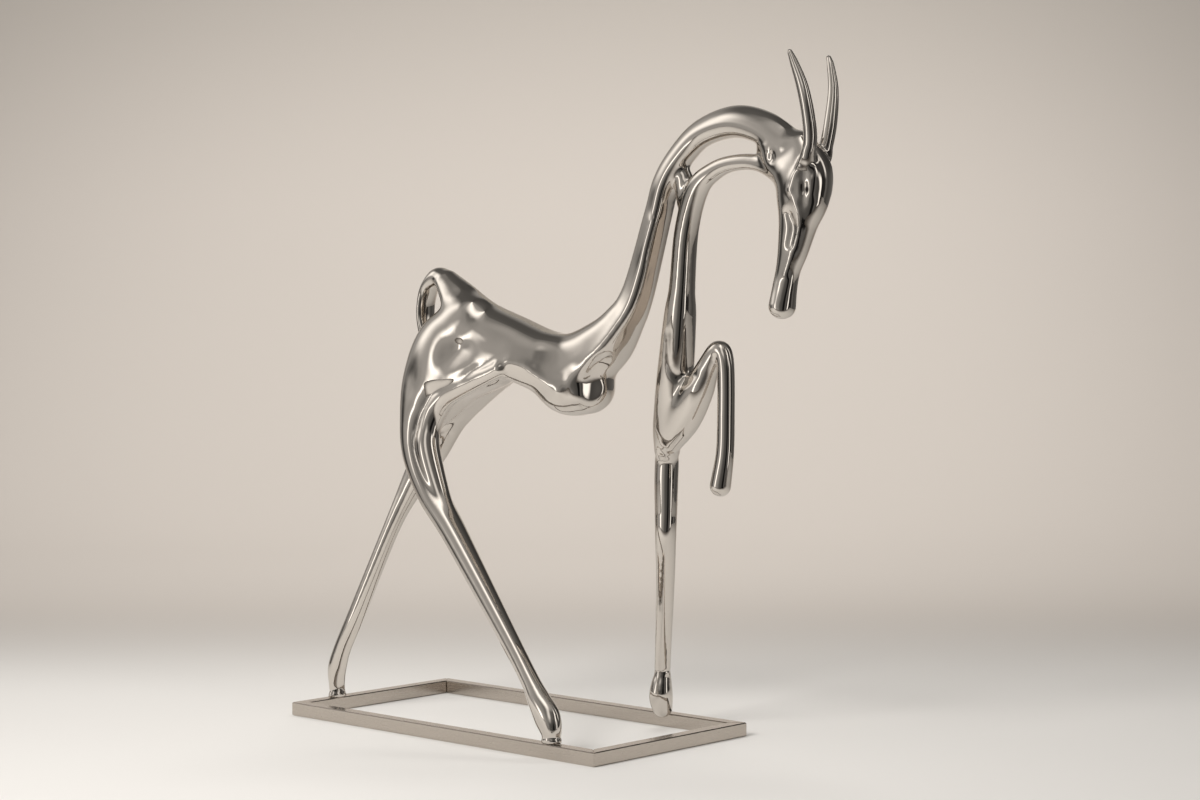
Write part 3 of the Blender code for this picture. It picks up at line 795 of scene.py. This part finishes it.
def make_sweep():
    profile = [(SHEET_FRONT, 0), (SWEEP_START, 0)]
    for k in range(1, SWEEP_FACETS + 1):
        turn = math.pi / 2 * k / SWEEP_FACETS
        back = SWEEP_START + SWEEP_RADIUS * math.sin(turn)
        profile.append((back, SWEEP_RADIUS * (1 - math.cos(turn))))
    profile.append((SWEEP_START + SWEEP_RADIUS, SWEEP_TOP))
    sides = (SHEET_LEFT, SHEET_RIGHT)
    bm = bmesh.new()
    rows = [[bm.verts.new(from_camera(side, back, up)) for side in sides] for back, up in profile]
    for lower, upper in zip(rows, rows[1:]):
        face = bm.faces.new((lower[0], lower[1], upper[1], upper[0]))
        face.smooth = True
    return make_mesh_object("studio_sweep", bm)


def distance_from(nodes, links, place, middle):
    away = nodes.new("ShaderNodeVectorMath")
    away.operation = "DISTANCE"
    away.inputs[1].default_value = from_camera(*middle)
    links.new(place, away.inputs[0])
    return away.outputs["Value"]


def sweep_paint_and_painted_light():
    """Matt paint, pale on the floor and beige on the wall, with painted light: a painted bright middle on
    each with painted shade away from it, toward the wall's top and toward the floor's front.
    """
    material = bpy.data.materials.new("studio_paint_and_painted_light")
    material.use_nodes = True
    nodes, links = material.node_tree.nodes, material.node_tree.links
    shader = nodes["Principled BSDF"]
    shader.inputs["Roughness"].default_value = 0.9
    place = nodes.new("ShaderNodeTexCoord").outputs["Object"]
    height = nodes.new("ShaderNodeSeparateXYZ")
    links.new(place, height.inputs["Vector"])
    # Painted pools of light on floor and wall: the paint darkens with distance from their middles
    floor_away = distance_from(nodes, links, place, FLOOR_PAINTED_LIGHT)
    wall_away = distance_from(nodes, links, place, WALL_PAINTED_LIGHT)
    floor = blend(nodes, links, floor_away, *FLOOR_PAINTED_FALLOFF, FLOOR_COLOUR, PAINTED_SHADE_COLOUR)
    wall = blend(nodes, links, wall_away, *WALL_PAINTED_FALLOFF, WALL_COLOUR, PAINTED_SHADE_COLOUR)
    toward_back = nodes.new("ShaderNodeVectorMath")
    toward_back.operation = "DOT_PRODUCT"
    toward_back.inputs[1].default_value = (-math.sin(CAMERA_TURN), math.cos(CAMERA_TURN), 0)
    links.new(place, toward_back.inputs[0])
    front, unseen, floor_end, wall_start = (
        float(from_camera(0, back, 0) @ toward_back.inputs[1].default_value)
        for back in (SHEET_FRONT, UNSEEN_FLOOR, *FLOOR_TO_WALL)
    )
    back = toward_back.outputs["Value"]
    # Painted shade toward the front edge of the floor
    floor = blend(nodes, links, back, front, unseen, PAINTED_SHADE_COLOUR, floor)
    paint = blend(nodes, links, back, floor_end, wall_start, floor, wall)
    # Painted shade toward the wall's top
    paint = blend(nodes, links, height.outputs["Z"], *TOP_SHADE_FADE, paint, TOP_PAINTED_SHADE)
    links.new(paint, shader.inputs["Base Color"])
    return material


sweep = make_sweep()
sweep.data.materials.append(sweep_paint_and_painted_light())

LIGHT_COLOUR = (1, 0.97, 0.94)
MIDDLE = (0, 0, 300)


def add_light(name, place, aim, width, height, watts):
    """A soft light that the steel doesn't mirror, because the room already shows lights."""
    light = bpy.data.lights.new(name, "AREA")
    light.shape = "RECTANGLE"
    light.size = width / 1000
    light.size_y = height / 1000
    light.energy = watts
    light.color = LIGHT_COLOUR
    obj = bpy.data.objects.new(name, light)
    bpy.context.scene.collection.objects.link(obj)
    obj.location = from_camera(*place)
    way = Vector(from_camera(*aim)) - obj.location
    obj.rotation_euler = way.to_track_quat("-Z", "Y").to_euler()
    obj.visible_glossy = False


add_light("key_softbox", (-1100, -1300, 1500), MIDDLE, 900, 900, 34)
add_light("wall_light", (250, 1100, 2300), (0, 2200, 100), 1700, 600, 30)

# The room that the steel mirrors: its brightness by the turn in degrees from straight behind the camera,
# below 0 to the camera's left, at the level of the work, raised above it and overhead. Then where these bands
# meet, as the height of a direction that is 1 long, and the tint of it all.
LEVEL_TONES = (
    (-180, 0.39), (-150, 0.25), (-125, 0.31), (-110, 0.06), (-104, 0.06), (-92, 0.39), (-76, 0.48),
    (-68, 2.37), (-60, 0.48), (-40, 0.31), (-22, 0.13), (-10, 0.10), (4, 0.08), (9, 0.01), (24, 0.01),
    (30, 0.13), (50, 0.08), (56, 1.71), (59, 1.71), (63, 0.02), (84, 0.03), (90, 0.17), (102, 0.08),
    (116, 0.11), (148, 0.17), (166, 0.39), (180, 0.39),
)
RAISED_TONES = (
    (-180, 0.31), (-150, 0.33), (-125, 0.48), (-100, 1.58), (-76, 0.48), (-55, 0.37), (-40, 0.22),
    (-22, 1.07), (-2, 0.17), (36, 0.10), (42, 1.71), (49, 1.71), (54, 0.06), (80, 0.06), (88, 1.32),
    (97, 0.08), (124, 0.05), (156, 0.06), (168, 0.37), (180, 0.31),
)
OVERHEAD_TONES = (
    (-180, 0.11), (-110, 0.13), (-80, 0.27), (-55, 0.48), (-25, 1.84), (5, 0.48), (38, 0.37), (75, 0.22),
    (120, 0.13), (150, 0.09), (180, 0.11),
)
LEVEL_TO_RAISED = (0.05, 0.30)
RAISED_TO_OVERHEAD = (0.55, 0.85)
ROOM_TINT = (1, 0.96, 0.91)


def tones_around(nodes, links, turned, tones):
    """A band of the room: its tones by the turn, as a share of a full turn."""
    ramp = nodes.new("ShaderNodeValToRGB")
    ramp.color_ramp.interpolation = "EASE"
    stops = ramp.color_ramp.elements
    stops.remove(stops[1])
    for degrees, tone in tones:
        stop = stops[0] if degrees == -180 else stops.new((degrees + 180) / 360)
        stop.color = (*(tone * tint for tint in ROOM_TINT), 1)
    stops[0].position = 0
    links.new(turned, ramp.inputs["Fac"])
    return ramp.outputs["Color"]


def make_room():
    """The room around the sheet, as the steel mirrors it: tall lights, dark gaps and grey walls."""
    world = bpy.data.worlds.new("studio_room")
    bpy.context.scene.world = world
    world.use_nodes = True
    nodes, links = world.node_tree.nodes, world.node_tree.links
    place = nodes.new("ShaderNodeTexCoord").outputs["Generated"]
    turn = nodes.new("ShaderNodeMath")
    turn.operation = "ARCTAN2"
    c, s = math.cos(CAMERA_TURN), math.sin(CAMERA_TURN)
    for socket, way in zip(turn.inputs, ((c, s, 0), (s, -c, 0))):
        part = nodes.new("ShaderNodeVectorMath")
        part.operation = "DOT_PRODUCT"
        part.inputs[1].default_value = way
        links.new(place, part.inputs[0])
        links.new(part.outputs["Value"], socket)
    share = nodes.new("ShaderNodeMapRange")
    share.inputs["From Min"].default_value = -math.pi
    share.inputs["From Max"].default_value = math.pi
    links.new(turn.outputs["Value"], share.inputs["Value"])
    height = nodes.new("ShaderNodeSeparateXYZ")
    links.new(place, height.inputs["Vector"])
    level, raised, overhead = (
        tones_around(nodes, links, share.outputs["Result"], tones)
        for tones in (LEVEL_TONES, RAISED_TONES, OVERHEAD_TONES)
    )
    room = blend(nodes, links, height.outputs["Z"], *LEVEL_TO_RAISED, level, raised)
    room = blend(nodes, links, height.outputs["Z"], *RAISED_TO_OVERHEAD, room, overhead)
    links.new(room, nodes["Background"].inputs["Color"])


make_room()


# The camera
# A 75 mm lens a little over two metres away, just above the back, as in the photograph.

CAMERA_DIP = math.radians(2.4)
CAMERA_PLACE = (1548, -1576, 382)

camera = bpy.data.objects.new("camera", bpy.data.cameras.new("camera"))
bpy.context.scene.collection.objects.link(camera)
camera.data.sensor_width = 36
camera.data.lens = 75
camera.data.clip_end = 50
camera.location = in_part_metres([CAMERA_PLACE])[0]
camera.rotation_euler = (math.pi / 2 - CAMERA_DIP, 0, CAMERA_TURN)
bpy.context.scene.camera = camera

bpy.context.scene.view_settings.view_transform = "Standard"
